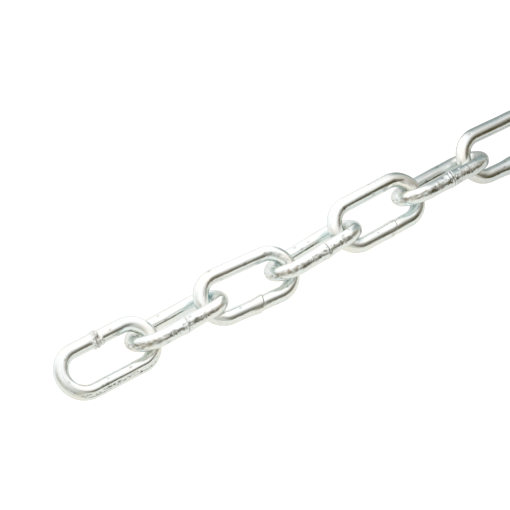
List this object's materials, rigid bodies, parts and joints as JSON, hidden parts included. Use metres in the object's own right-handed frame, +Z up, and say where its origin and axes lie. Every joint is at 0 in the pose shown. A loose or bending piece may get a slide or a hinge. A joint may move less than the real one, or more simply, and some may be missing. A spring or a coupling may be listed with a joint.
{
  "type": "length of welded steel chain",
  "caption": "Straight length of bright zinc-plated steel chain: oval welded wire links, each hooked square through the next, lying on a floor.",
  "frame": {"origin": "centre of the chain's outline, on the floor that it lies on", "axes": "+X along the chain, from the free end that the picture shows towards the end it cuts off; +Z up"},
  "size_m": [0.98, 0.0228, 0.0178],
  "materials": {
    "zinc": "bright zinc plated, smooth and shiny"
  },
  "bodies": {
    "link_01": {"link_01": "zinc"},
    "link_02": {"link_02": "zinc"},
    "link_03": {"link_03": "zinc"},
    "link_04": {"link_04": "zinc"},
    "link_05": {"link_05": "zinc"},
    "link_06": {"link_06": "zinc"},
    "link_07": {"link_07": "zinc"},
    "link_08": {"link_08": "zinc"},
    "link_09": {"link_09": "zinc"},
    "link_10": {"link_10": "zinc"},
    "link_11": {"link_11": "zinc"},
    "link_12": {"link_12": "zinc"},
    "link_13": {"link_13": "zinc"},
    "link_14": {"link_14": "zinc"},
    "link_15": {"link_15": "zinc"},
    "link_16": {"link_16": "zinc"},
    "link_17": {"link_17": "zinc"},
    "link_18": {"link_18": "zinc"},
    "link_19": {"link_19": "zinc"},
    "link_20": {"link_20": "zinc"},
    "link_21": {"link_21": "zinc"},
    "link_22": {"link_22": "zinc"},
    "link_23": {"link_23": "zinc"},
    "link_24": {"link_24": "zinc"},
    "link_25": {"link_25": "zinc"},
    "link_26": {"link_26": "zinc"},
    "link_27": {"link_27": "zinc"},
    "link_28": {"link_28": "zinc"},
    "link_29": {"link_29": "zinc"},
    "link_30": {"link_30": "zinc"}
  },
  "joints": [
    {"name": "swing_02", "type": "hinge", "parent": "link_01", "child": "link_02", "pos_m": [-0.44992, 0.0053, 0.00982], "axis": [0.0151, 0.8659, 0.5], "range_deg": [-25, 20]},
    {"name": "swing_03", "type": "hinge", "parent": "link_02", "child": "link_03", "pos_m": [-0.41814, -0.00331, 0.01003], "axis": [-0.015, 0.857, -0.515], "range_deg": [-30, 20]},
    {"name": "swing_04", "type": "hinge", "parent": "link_03", "child": "link_04", "pos_m": [-0.38574, -0.0055, 0.00527], "axis": [-0.0723, -0.8259, -0.5592], "range_deg": [-25, 40]},
    {"name": "swing_05", "type": "hinge", "parent": "link_04", "child": "link_05", "pos_m": [-0.35256, -0.00154, 0.00928], "axis": [0.0571, -0.8172, 0.5736], "range_deg": [-45, 45]},
    {"name": "swing_06", "type": "hinge", "parent": "link_05", "child": "link_06", "pos_m": [-0.32033, -0.00177, 0.00626], "axis": [0, 0.788, 0.6157], "range_deg": [-45, 45]},
    {"name": "swing_07", "type": "hinge", "parent": "link_06", "child": "link_07", "pos_m": [-0.28822, -0.00249, 0.01016], "axis": [0, 0.809, -0.5878], "range_deg": [-40, 45]},
    {"name": "swing_08", "type": "hinge", "parent": "link_07", "child": "link_08", "pos_m": [-0.25636, -0.00435, 0.0059], "axis": [-0.037, -0.7061, -0.7071], "range_deg": [-35, 45]},
    {"name": "swing_09", "type": "hinge", "parent": "link_08", "child": "link_09", "pos_m": [-0.22358, -0.00151, 0.00944], "axis": [0.0423, -0.8079, 0.5878], "range_deg": [-45, 45]},
    {"name": "swing_10", "type": "hinge", "parent": "link_09", "child": "link_10", "pos_m": [-0.1916, -0.00194, 0.00627], "axis": [0, 0.7431, 0.6691], "range_deg": [-45, 45]},
    {"name": "swing_11", "type": "hinge", "parent": "link_10", "child": "link_11", "pos_m": [-0.15932, -0.00216, 0.00993], "axis": [0, 0.809, -0.5878], "range_deg": [-45, 45]},
    {"name": "swing_12", "type": "hinge", "parent": "link_11", "child": "link_12", "pos_m": [-0.12703, -0.00194, 0.00627], "axis": [0, -0.7431, -0.6691], "range_deg": [-45, 45]},
    {"name": "swing_13", "type": "hinge", "parent": "link_12", "child": "link_13", "pos_m": [-0.09475, -0.00216, 0.00993], "axis": [0, -0.809, 0.5878], "range_deg": [-45, 45]},
    {"name": "swing_14", "type": "hinge", "parent": "link_13", "child": "link_14", "pos_m": [-0.06247, -0.00194, 0.00627], "axis": [0, 0.7431, 0.6691], "range_deg": [-45, 45]},
    {"name": "swing_15", "type": "hinge", "parent": "link_14", "child": "link_15", "pos_m": [-0.03019, -0.00216, 0.00993], "axis": [0, 0.809, -0.5878], "range_deg": [-45, 45]},
    {"name": "swing_16", "type": "hinge", "parent": "link_15", "child": "link_16", "pos_m": [0.00209, -0.00194, 0.00627], "axis": [0, -0.7431, -0.6691], "range_deg": [-45, 45]},
    {"name": "swing_17", "type": "hinge", "parent": "link_16", "child": "link_17", "pos_m": [0.03437, -0.00216, 0.00993], "axis": [0, -0.809, 0.5878], "range_deg": [-45, 45]},
    {"name": "swing_18", "type": "hinge", "parent": "link_17", "child": "link_18", "pos_m": [0.06665, -0.00194, 0.00627], "axis": [0, 0.7431, 0.6691], "range_deg": [-45, 45]},
    {"name": "swing_19", "type": "hinge", "parent": "link_18", "child": "link_19", "pos_m": [0.09893, -0.00216, 0.00993], "axis": [0, 0.809, -0.5878], "range_deg": [-45, 45]},
    {"name": "swing_20", "type": "hinge", "parent": "link_19", "child": "link_20", "pos_m": [0.13121, -0.00194, 0.00627], "axis": [0, -0.7431, -0.6691], "range_deg": [-45, 45]},
    {"name": "swing_21", "type": "hinge", "parent": "link_20", "child": "link_21", "pos_m": [0.16349, -0.00216, 0.00993], "axis": [0, -0.809, 0.5878], "range_deg": [-45, 45]},
    {"name": "swing_22", "type": "hinge", "parent": "link_21", "child": "link_22", "pos_m": [0.19577, -0.00194, 0.00627], "axis": [0, 0.7431, 0.6691], "range_deg": [-45, 45]},
    {"name": "swing_23", "type": "hinge", "parent": "link_22", "child": "link_23", "pos_m": [0.22806, -0.00216, 0.00993], "axis": [0, 0.809, -0.5878], "range_deg": [-45, 45]},
    {"name": "swing_24", "type": "hinge", "parent": "link_23", "child": "link_24", "pos_m": [0.26034, -0.00194, 0.00627], "axis": [0, -0.7431, -0.6691], "range_deg": [-45, 45]},
    {"name": "swing_25", "type": "hinge", "parent": "link_24", "child": "link_25", "pos_m": [0.29262, -0.00216, 0.00993], "axis": [0, -0.809, 0.5878], "range_deg": [-45, 45]},
    {"name": "swing_26", "type": "hinge", "parent": "link_25", "child": "link_26", "pos_m": [0.3249, -0.00194, 0.00627], "axis": [0, 0.7431, 0.6691], "range_deg": [-45, 45]},
    {"name": "swing_27", "type": "hinge", "parent": "link_26", "child": "link_27", "pos_m": [0.35718, -0.00216, 0.00993], "axis": [0, 0.809, -0.5878], "range_deg": [-45, 45]},
    {"name": "swing_28", "type": "hinge", "parent": "link_27", "child": "link_28", "pos_m": [0.38946, -0.00194, 0.00627], "axis": [0, -0.7431, -0.6691], "range_deg": [-45, 45]},
    {"name": "swing_29", "type": "hinge", "parent": "link_28", "child": "link_29", "pos_m": [0.42174, -0.00216, 0.00993], "axis": [0, -0.809, 0.5878], "range_deg": [-45, 45]},
    {"name": "swing_30", "type": "hinge", "parent": "link_29", "child": "link_30", "pos_m": [0.45402, -0.00194, 0.00627], "axis": [0, 0.7431, 0.6691], "range_deg": [-45, 45]}
  ]
}
